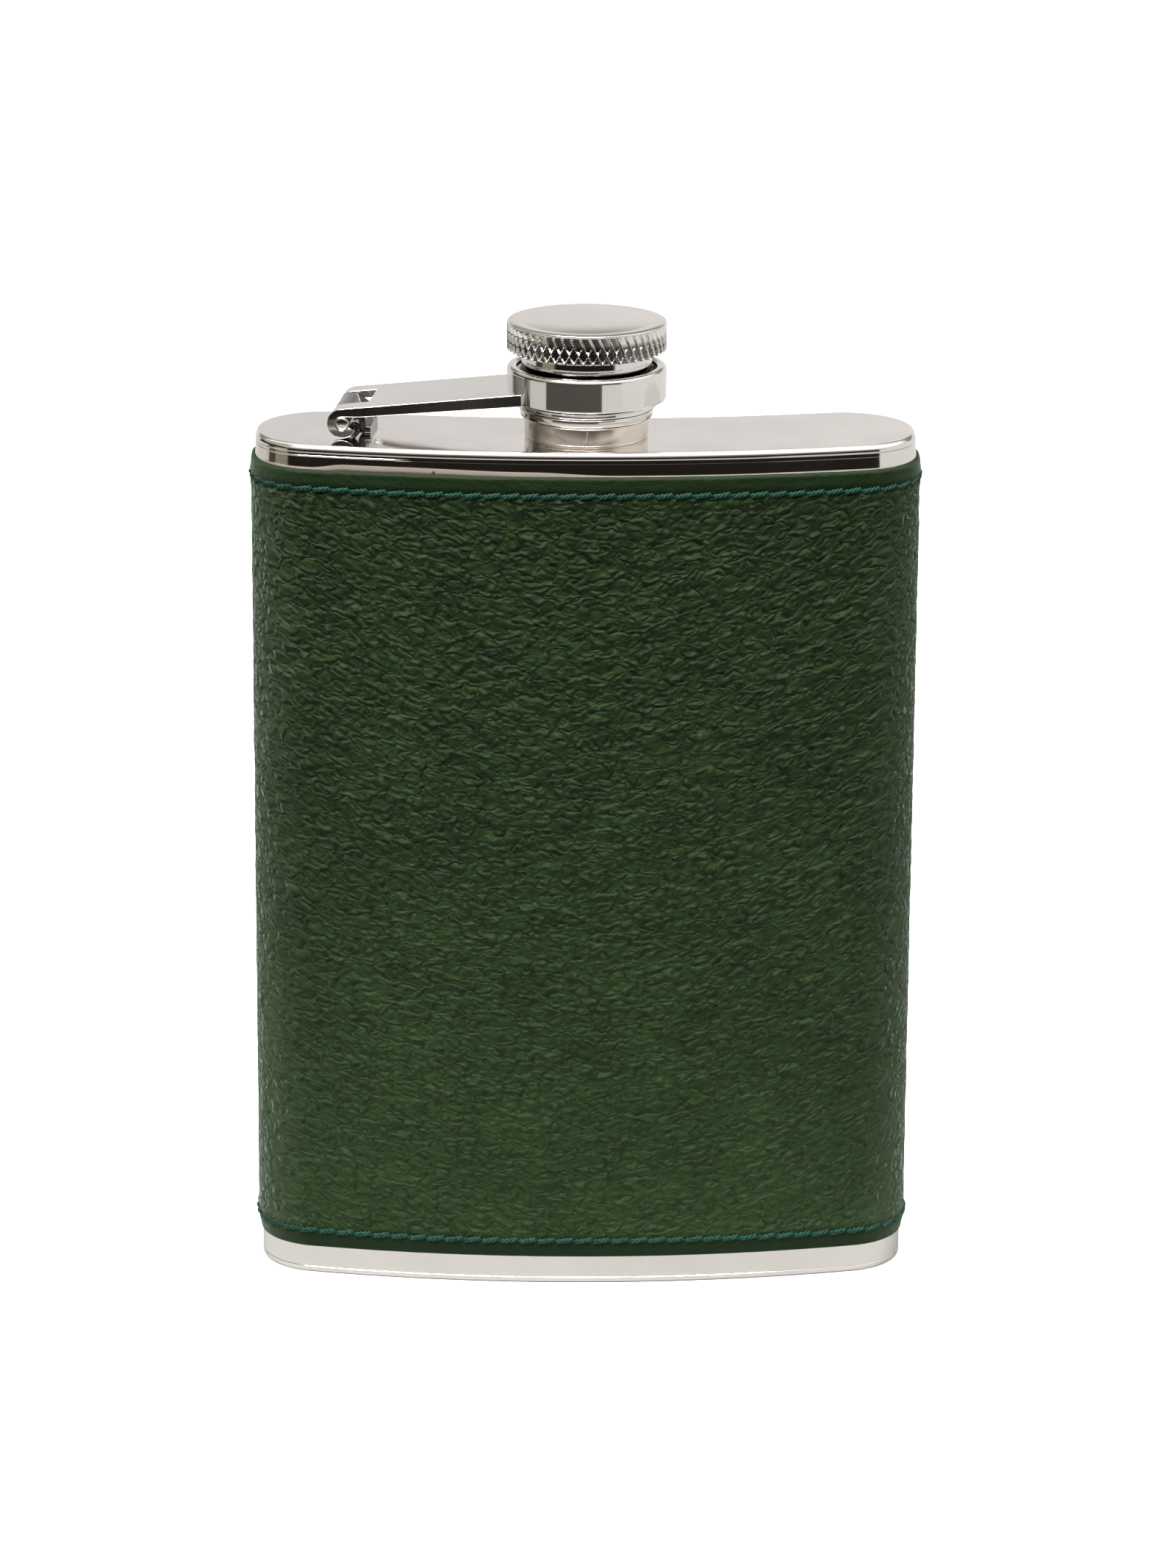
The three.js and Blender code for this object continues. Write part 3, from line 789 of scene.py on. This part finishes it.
def rear_row(name, side, node_name):
    """Upright row of stitches on one side of the joint at the back"""
    count = int((REAR_ROW_HIGH - REAR_ROW_LOW) / STITCH_PITCH)
    pitch = (REAR_ROW_HIGH - REAR_ROW_LOW) / count
    length = abs(REAR_ROW_X) if side < 0 else PERIMETER - abs(REAR_ROW_X)
    point, normal = on_outline(length)
    lean = 0.12 * np.array([-normal[1], normal[0], 0.0])
    half = np.array([0, 0, 1.12])
    parts = []
    for i in range(count):
        middle = np.array([*(point + normal * LEATHER_FACE), REAR_ROW_LOW + (i + 0.5) * pitch])
        parts.append(twisted_stitch(middle - half - lean, middle + half + lean, np.array([*normal, 0.0])))
    sew(name, parts, node_name)


# ---- hinge and arm
ARM_RISE = math.radians(6.3)
KNUCKLE_R = 2.1
KNUCKLE_BORE = 1.03
ARM_WIDTH = 15.1
CENTRE_KNUCKLE = 7.2
SLOT_HALF = CENTRE_KNUCKLE / 2 + 0.3
WINDOW_END = 3.6


def hinge_matrix(rise):
    """From (along the arm, along the pin, up) to the part's frame, all in mm"""
    pin = Vector(PIN_AXIS).normalized()
    yaw = math.atan2(-pin.x, pin.y)
    turn = Matrix.Rotation(yaw, 4, "Z") @ Matrix.Rotation(-rise, 4, "Y")
    return Matrix.Translation(Vector(PIN)) @ turn


def placed(vertices, matrix):
    vertices = np.asarray(vertices, float)
    m = np.array(matrix)
    return vertices @ m[:3, :3].T + m[:3, 3]


def strip_section(width, thickness):
    """Rounded rectangle: (across, out)"""
    w, t, radius = width / 2, thickness / 2, 0.22
    return rounded([(-w, -t, radius), (w, -t, radius), (w, t, radius), (-w, t, radius)], 3)


def bracket():
    """Strip wrapped over the pin, down a leg to a foot on the shoulder"""
    middle = (KNUCKLE_R + KNUCKLE_BORE) / 2 - 0.02
    thickness = KNUCKLE_R - KNUCKLE_BORE - 0.04
    foot_z = PLATE_TOP - PIN[2] + thickness / 2 + 0.02
    leave = math.radians(58)
    angles = np.linspace(math.radians(250), leave, 30)
    curl = [(middle * math.cos(a), middle * math.sin(a)) for a in angles]
    out = 2.25
    shoulder_z = curl[-1][1] - (out - curl[-1][0]) / math.tan(leave)
    leg = rounded([(*curl[-1], 0), (out, shoulder_z, 1.0), (out + 0.1, foot_z, 0.4), (3.5, foot_z, 0)],
                  steps=9, closed=False)
    outline = np.array(curl + [tuple(p) for p in leg[1:]])
    path = np.column_stack([outline[:, 0], np.zeros(len(outline)), outline[:, 1]])
    vertices, faces = sweep(path, np.array([0.0, 1.0, 0.0]), strip_section(CENTRE_KNUCKLE, thickness))
    made = make_object("bracket", placed(vertices, hinge_matrix(0)), faces, ARM_STEEL, sharp=50)
    # Painted shade: the whole bracket's steel is darkened most of the way to the near-black colour
    paint(made, "painted_shade", np.full(len(vertices), 0.9))
    stands_for(made, "flask", "polished_steel", "hinge_bracket")


def pin():
    """Riveted pin with slightly domed ends"""
    half = ARM_WIDTH / 2
    rings = [(0.02, -half - 0.02), (0.55, -half), (0.85, -half + 0.06), (0.98, -half + 0.22)]
    profile = rings + [(r, -y) for r, y in rings[::-1]]
    sides = 48
    angles = full_turn(sides)
    vertices = [(r * math.cos(a), y, r * math.sin(a)) for r, y in profile for a in angles]
    faces = [list(f) for f in grid_faces(len(profile), sides, close_columns=True)]
    faces.append(list(range(sides)))
    faces.append(list(range(len(vertices) - sides, len(vertices)))[::-1])
    made = make_object("pin", placed(vertices, hinge_matrix(0)), faces, ARM_STEEL, sharp=50)
    stands_for(made, "flask", "polished_steel", "hinge_pin")


ARM_DEPTH = 1.35
ARM_CORNER = 0.07
FLANGE = 0.95
FLANGE_LEAN = 0.06


def arm_section(depth):
    """Left half of the channel (across, up from the top face): its outer side, then its inner side"""
    half = ARM_WIDTH / 2
    thickness = KNUCKLE_R - KNUCKLE_BORE - 0.02
    turn = np.linspace(0, math.pi / 2, 6)
    side = -half + FLANGE_LEAN
    outer = [(-half, -depth), (side, -ARM_CORNER)]
    outer += [(side + ARM_CORNER * (1 - math.cos(t)), ARM_CORNER * (math.sin(t) - 1)) for t in turn[1:]]
    outer += [(-SLOT_HALF, 0)]
    root = -half + FLANGE
    inner = [(-SLOT_HALF, -thickness), (root + 0.3, -thickness)]
    inner += [(root + 0.08, -thickness - 0.04), (root, -depth)]
    return outer, inner


def knuckle_leg():
    """One side of the arm beside the window: curled round the pin, then straight"""
    shallow = KNUCKLE_R - KNUCKLE_BORE + 0.02
    rings = []
    for angle in np.linspace(math.radians(325), math.radians(90), 36):
        outer, inner = arm_section(shallow)
        radial = np.array([math.cos(angle), 0, math.sin(angle)])
        rings.append([radial * (KNUCKLE_R + up) + np.array([0, across, 0]) for across, up in outer + inner])
    for x in (0.6, 1.4, 2.2, 3.0, WINDOW_END):
        outer, inner = arm_section(max(ARM_DEPTH - 0.28 * (1 - min(1, x / 2.6)), shallow))
        rings.append([np.array([x, across, KNUCKLE_R + up]) for across, up in outer + inner])
    rings = np.array(rings)
    return rings.reshape(-1, 3), rod_faces(*rings.shape[:2])


def channel(length):
    """The arm beyond the window: a full-width channel, cut to the round of the collar"""
    rings = []
    for x in np.linspace(WINDOW_END, length, 14):
        outer, inner = arm_section(ARM_DEPTH + 0.42 * (x - WINDOW_END) / (length - WINDOW_END))
        outer = outer + [(-SLOT_HALF / 2, 0)]
        inner = [(-SLOT_HALF / 2, inner[0][1])] + inner
        ring = outer + [(-a, b) for a, b in outer[::-1] + inner[::-1]] + inner
        rings.append([np.array([x, across, KNUCKLE_R + up]) for across, up in ring])
    rings = np.array(rings)
    rings = placed(rings.reshape(-1, 3), hinge_matrix(ARM_RISE)).reshape(rings.shape)
    wall = radius_of(COLLAR) - 0.05
    for line in rings.transpose(1, 0, 2):
        gap = np.hypot(*(line[:, :2] - NECK_AXIS).T) - wall
        past = np.where(gap < 0)[0]
        if len(past):
            first = past[0]
            t = gap[first - 1] / (gap[first - 1] - gap[first])
            start, stop = line[0].copy(), line[first - 1] + t * (line[first] - line[first - 1])
            line[:] = start + np.linspace(0, 1, len(line))[:, None] * (stop - start)
    return rings.reshape(-1, 3), rod_faces(*rings.shape[:2])


def arm():
    """Pressed strip: two curled knuckles, a window between them, then a shallow channel"""
    vertices, faces = knuckle_leg()
    matrix = hinge_matrix(ARM_RISE)
    near = (placed(vertices, matrix), faces)
    far = (placed(vertices * np.array([1, -1, 1]), matrix), [f[::-1] for f in faces])
    strip = channel(float(np.hypot(*(NECK_AXIS - PIN[:2]))))
    made = make_object("arm", *join_parts([strip, near, far]), ARM_STEEL)
    weld(made, 0.003)
    crisp_edges(made.data, 30)
    add_bevel(made, 0.03, 2, 40)
    stands_for(made, "arm", "polished_steel", "cap_arm")


def collar():
    low, top = heights(COLLAR)
    r = radius_of(COLLAR)
    bore = r - 0.85
    profile = rounded([
        (bore, low, 0.1), (r, low, 0.28), (r, top - 0.05, 0.62), (r - 1.35, top - 0.1, 0.38),
        (r - 1.5, top - 0.85, 0.2), (bore, top - 1.05, 0.15),
    ], steps=8)
    made = make_object("collar", *lathe(profile, 220), CAP_STEEL, sharp=45)
    # Painted shade on the collar's inner wall, in the recess round the cap
    painted_shade(made, r - 1.25, low + 0.3, top - 0.25)
    stands_for(made, "arm", "polished_steel", "collar_ring")


# ---- cap
def painted_shade(made, radius, low, high):
    """Paints shade on the part nearer the axis than radius, between two heights: the steel there is
    darkened as painted shade
    """
    points = np.array([v.co[:] for v in made.data.vertices]) / MM
    away = np.hypot(*(points[:, :2] - NECK_AXIS).T)
    dark = (away < radius) & (points[:, 2] > low) & (points[:, 2] < high)
    paint(made, "painted_shade", dark.astype(float))


def snap_ring():
    """Open ring on the skirt: a swept strip with a gap at the back"""
    low, high = heights(RING)
    outer = radius_of(RING)
    inner = 9.02
    corners = [(inner, low, 0.1), (outer, low, 0.2), (outer - 0.4, high, 0.2), (inner, high, 0.1)]
    profile = rounded(corners, 5)
    gap = 0.08
    angles = np.linspace(math.pi / 2 + gap, math.pi / 2 + 2 * math.pi - gap, 200)
    vertices = about_neck(profile[:, 0], angles[:, None], profile[:, 1]).reshape(-1, 3)
    made = make_object("snap_ring", vertices, rod_faces(len(angles), len(profile)), CAP_STEEL, sharp=45)
    stands_for(made, "retainer", "polished_steel", "retaining_ring")


def skirt():
    low, top = heights(SKIRT)
    lip = radius_of(SKIRT)
    pipe, bore, flange = 8.95, 8.35, 9.25
    profile = rounded([
        (bore, low, 0.2), (lip - 0.06, low, 0.22), (lip, low + 1.08, 0.22), (pipe, low + 1.2, 0.08),
        (pipe, 134.62, 0.1), (flange, 134.78, 0.12), (flange, 135.15, 0.1), (flange - 0.12, 135.3, 0.1),
        (flange - 0.2, top + 0.15, 0), (bore, top + 0.15, 0),
    ], steps=4)
    parts = [lathe(profile, 200), thread_ridge(bore - 0.05)]
    made = make_object("skirt", *join_parts(parts), CAP_STEEL, sharp=45)
    # Painted shade on the skirt's pipe where it sits inside the collar
    painted_shade(made, pipe + 0.02, low + 1.3, 134.66)
    stands_for(made, "cap", "polished_steel", "cap_skirt")


KNURL_COUNT = 52


def knurl_height(angle, z, low, high, radius):
    """Diamond knurling 0..1: a full-height family of ridges, crossed by a shorter one"""
    pitch = 2 * math.pi * radius / KNURL_COUNT
    arc = angle * radius / pitch
    lean = (z - low) / pitch
    leading = np.abs((arc + lean * 0.50) % 1 - 0.5) * 2
    crossing = np.abs((arc - lean * 0.50) % 1 - 0.5) * 2
    reach = 0.62 + 0.5 * np.clip(np.cos(angle - math.radians(190)) - 0.3, 0, 1)
    shown = np.clip((reach - (z - low) / (high - low)) * 9, 0, 1)
    ridge = np.clip(1.2 - leading / 0.25, 0, 1)
    return np.maximum(ridge, 0.8 * np.clip(1.15 - crossing / 0.15, 0, 1) * shown)


def cap_head():
    """Knurled head: domed top, thin bright bead, diamond knurl band, flat underside and spigot"""
    low, top = 136.45, float(HEAD[1][2]) - 0.2
    r = radius_of(HEAD)
    sides = KNURL_COUNT * 16
    angles = full_turn(sides)
    knurl_low, knurl_high = low + 0.12, top - 0.42
    under = [(0.05, 134.95), (8.1, 134.95), (8.15, 135.0), (8.15, low), (r - 0.75, low)]
    band = np.linspace(knurl_low, knurl_high, 34)
    bead = rounded([(r - 0.25, knurl_high, 0), (r - 0.08, knurl_high + 0.08, 0.06),
                    (r - 0.05, top - 0.05, 0.28), (r - 1.2, top + 0.02, 0)], 5, closed=False)
    dome = [(x, top + 0.2 * (1 - (x / (r - 1.2)) ** 3)) for x in np.linspace(r - 1.4, 0.05, 14)]
    rows = list(under)
    depth = 0.36
    for z in band:
        fall = np.clip(min((z - knurl_low) / 0.22, 1), 0, 1)
        height = knurl_height(angles, z, knurl_low, knurl_high, r)
        lean = 0.025 * (z - knurl_low) * (1 - height)
        rows.append((r - depth * (1 - height) - lean - 0.35 * (1 - fall) ** 2, z))
    rows += [*bead, *dome]
    radius, height = (np.array([np.broadcast_to(row[i], sides) for row in rows]) for i in (0, 1))
    vertices = about_neck(radius, angles, height).reshape(-1, 3)
    made = make_object("knurled_head", vertices, rod_faces(len(rows), sides), CAP_STEEL, sharp=32)
    # Painted shade in the knurl's grooves, over the lower part of the band
    groove_shade = np.zeros(height.shape)
    for row, z in enumerate(band, len(under)):
        shown = np.clip((0.75 - (z - knurl_low) / (knurl_high - knurl_low)) * 6, 0, 1)
        groove_shade[row] = 0.85 * shown * np.clip(1.1 - knurl_height(angles, z, knurl_low, knurl_high, r), 0, 1)
    paint(made, "painted_shade", groove_shade.ravel())
    stands_for(made, "cap", "polished_steel", "cap_head")


def gasket():
    low, high = heights(GASKET)
    r = radius_of(GASKET)
    profile = rounded([(2.6, low + 0.15, 0.2), (5.2, low + 0.15, 0.1), (5.6, low, 0.1), (r, low, 0.25),
                       (r, high, 0.25), (2.6, high, 0.2)], 4)
    made = make_object("gasket", *lathe(profile, 96), SEAL, sharp=50)
    stands_for(made, "cap", "seal", "cap_gasket")


# ---- studio
def floor():
    """White sweep; only its near part throws light back, so the steel mirrors the tent beyond it"""
    half = 1.6
    mesh = bpy.data.meshes.new("floor")
    corners = [(-half, -half), (half, -half), (half, half), (-half, half)]
    mesh.from_pydata([(x, y, -0.00002) for x, y in corners], [], [(0, 1, 2, 3)])
    material, tree, shader = new_material("floor_white")
    shade = mix_colour(tree, noise(tree, 6, detail=2), (0.87, 0.865, 0.86), (0.89, 0.885, 0.88))
    rays = node(tree, "ShaderNodeLightPath")
    mirrored = mix_colour(tree, rays.outputs["Is Glossy Ray"], shade, (0.27, 0.262, 0.25))
    fill(tree, shader, {"Base Color": mirrored, "Roughness": 0.7, "Specular IOR Level": 0.1})
    glow = node(tree, "ShaderNodeEmission", {"Color": (1, 1, 1, 1), "Strength": 0.40})
    lit = node(tree, "ShaderNodeAddShader", {0: shader.outputs[0], 1: glow.outputs[0]})
    is_camera = rays.outputs["Is Camera Ray"]
    seen = node(tree, "ShaderNodeMixShader", {0: is_camera, 1: shader.outputs[0], 2: lit.outputs[0]})
    place = node(tree, "ShaderNodeTexCoord").outputs["Object"]
    away = node(tree, "ShaderNodeVectorMath", {0: place}, operation="LENGTH").outputs["Value"]
    far = spread(tree, away, 0.08, 0.19)
    unseen = maths(tree, "SUBTRACT", 1.0, is_camera)
    clear = node(tree, "ShaderNodeBsdfTransparent")
    both = node(tree, "ShaderNodeMixShader", {
        0: maths(tree, "MULTIPLY", far, unseen), 1: seen.outputs[0], 2: clear.outputs[0],
    })
    tree.links.new(both.outputs[0], tree.nodes["Material Output"].inputs["Surface"])
    mesh.materials.append(material)
    made = new_object("floor", mesh)


def angle_panel(tree, under, colour, azimuth, elevation, soft):
    """Lays a colour over (value, low, high) of azimuth and elevation, in degrees, with soft edges"""
    mask = None
    for value, low, high in (azimuth, elevation):
        rising = spread(tree, value, low - soft / 2, low + soft / 2)
        falling = spread(tree, value, high - soft / 2, high + soft / 2, 1, 0)
        for part in (rising, falling):
            mask = part if mask is None else maths(tree, "MULTIPLY", mask, part)
    return mix_colour(tree, mask, under, colour)


def world_light():
    """Light tent: white overhead and behind, pale side walls, a dark opening in front"""
    world = bpy.data.worlds.new("studio")
    bpy.context.scene.world = world
    world.use_nodes = True
    tree = world.node_tree
    direction = node(tree, "ShaderNodeTexCoord").outputs["Generated"]
    axes = node(tree, "ShaderNodeSeparateXYZ", {"Vector": direction})
    to_front = maths(tree, "MULTIPLY", axes.outputs["Y"], -1.0)
    turn = maths(tree, "DEGREES", maths(tree, "ARCTAN2", axes.outputs["X"], to_front))
    rise = maths(tree, "DEGREES", maths(tree, "ARCSINE", axes.outputs["Z"]))
    off_front = maths(tree, "ABSOLUTE", turn)

    tent = mix_colour(tree, spread(tree, turn, -60, 60), (0.66, 0.64, 0.60), (0.80, 0.785, 0.765))
    across = spread(tree, axes.outputs["X"], -0.03, 0.07)
    back = mix_colour(tree, across, (0.74, 0.71, 0.69), (0.83, 0.79, 0.77))
    tent = mix_colour(tree, spread(tree, off_front, 135, 150), tent, back)
    tent = angle_panel(tree, tent, (0.28, 0.265, 0.235), (off_front, 130, 181), (rise, 16, 36), 4)
    for colour, turns, rises, edge in (
        ((0.075, 0.070, 0.063), (-63, 20), (-16.5, -10.8), 1.5),
        ((0.014, 0.011, 0.009), (-63, 50), (-10.8, 26), 1.5),
        ((0.42, 0.36, 0.30), (-75, 62), (9, 19), 3),
        ((0.27, 0.23, 0.17), (-85, -60), (-10.8, 0), 3),
        ((0.02, 0.016, 0.012), (-134, -64), (0, 20), 4),
        ((0.05, 0.045, 0.03), (-103, -85), (-10.8, 30), 3),
        ((0.16, 0.15, 0.13), (-112, -92), (-16.5, -10.8), 3),
    ):
        tent = angle_panel(tree, tent, colour, (turn, *turns), (rise, *rises), edge)
    tent = mix_colour(tree, spread(tree, rise, 28, 40), tent, (1.3, 1.29, 1.26))
    tent = angle_panel(tree, tent, (0.50, 0.45, 0.37), (turn, -140, -66), (rise, 22, 60), 6)
    tent = mix_colour(tree, spread(tree, rise, -16.8, -15.8, 1, 0), tent, (0.50, 0.415, 0.335))
    tent = mix_colour(tree, spread(tree, rise, -24, -18, 1, 0), tent, (0.80, 0.77, 0.73))

    soft = mix_colour(tree, spread(tree, rise, 30, 80), (1.0, 1.02, 1.03), (0.6, 0.6, 0.6))
    soft = angle_panel(tree, soft, (0.04, 0.04, 0.04), (turn, -75, 75), (rise, -100, 40), 20)
    soft = mix_colour(tree, spread(tree, rise, -3, 3, 1, 0), soft, (0.03, 0.03, 0.03))

    rays = node(tree, "ShaderNodeLightPath")
    seen = mix_colour(tree, rays.outputs["Is Diffuse Ray"], tent, soft)
    seen = mix_colour(tree, rays.outputs["Is Camera Ray"], seen, (1.0, 1.0, 1.0))
    fill(tree, tree.nodes["Background"], {"Color": seen, "Strength": 1.0})


def overhead_lamp():
    """Softbox hung above and a little in front, which rakes down the leather"""
    data = bpy.data.lights.new("softbox", "AREA")
    data.shape = "RECTANGLE"
    data.size, data.size_y = 0.9, 0.45
    data.energy = 42.0
    made = new_object("softbox", data)
    place, target = Vector((-0.12, -0.34, 1.15)), Vector((0, 0, 0.06))
    made.location = place
    made.rotation_euler = (target - place).to_track_quat("-Z", "Y").to_euler()


def camera():
    """At the photograph's viewing angle: level with the right of the hinge, looking down on the flask"""
    pitch, turn, roll = math.radians(17.41), math.radians(1.06), 0.0062
    distance = 864.65
    aim = np.array([0.0, FRONT_Y + 12, 60.0])
    sideways = 0.62
    back = np.array([-math.sin(turn) * math.cos(pitch), -math.cos(turn) * math.cos(pitch), math.sin(pitch)])
    right = np.array([math.cos(turn), -math.sin(turn), 0])
    place = aim + back * distance + right * sideways
    data = bpy.data.cameras.new("camera")
    data.sensor_width = 36
    data.lens = 8118 / 2133 * 36
    data.shift_y = 0.0523
    made = new_object("camera", data)
    look = Vector(-back).to_track_quat("-Z", "Y").to_matrix().to_4x4()
    made.matrix_world = Matrix.Translation(Vector(place) * MM) @ look @ Matrix.Rotation(roll, 4, "Z")
    data.clip_start, data.clip_end = 0.05, 20
    bpy.context.scene.camera = made


steel_sleeve()
shoulder()
base()
neck()
leather_wrap()
stitched_row("top_stitches", TOP_ROW_Z, "top_stitching", 0.62)
stitched_row("bottom_stitches", BOTTOM_ROW_Z, "bottom_stitching", 0.64)
rear_row("rear_stitches_left", 1, "rear_stitching_left")
rear_row("rear_stitches_right", -1, "rear_stitching_right")
bracket()
pin()
arm()
collar()
snap_ring()
skirt()
cap_head()
gasket()
floor()
world_light()
overhead_lamp()
camera()

scene = bpy.context.scene
scene.view_settings.view_transform = "Standard"
scene.view_settings.look = "None"
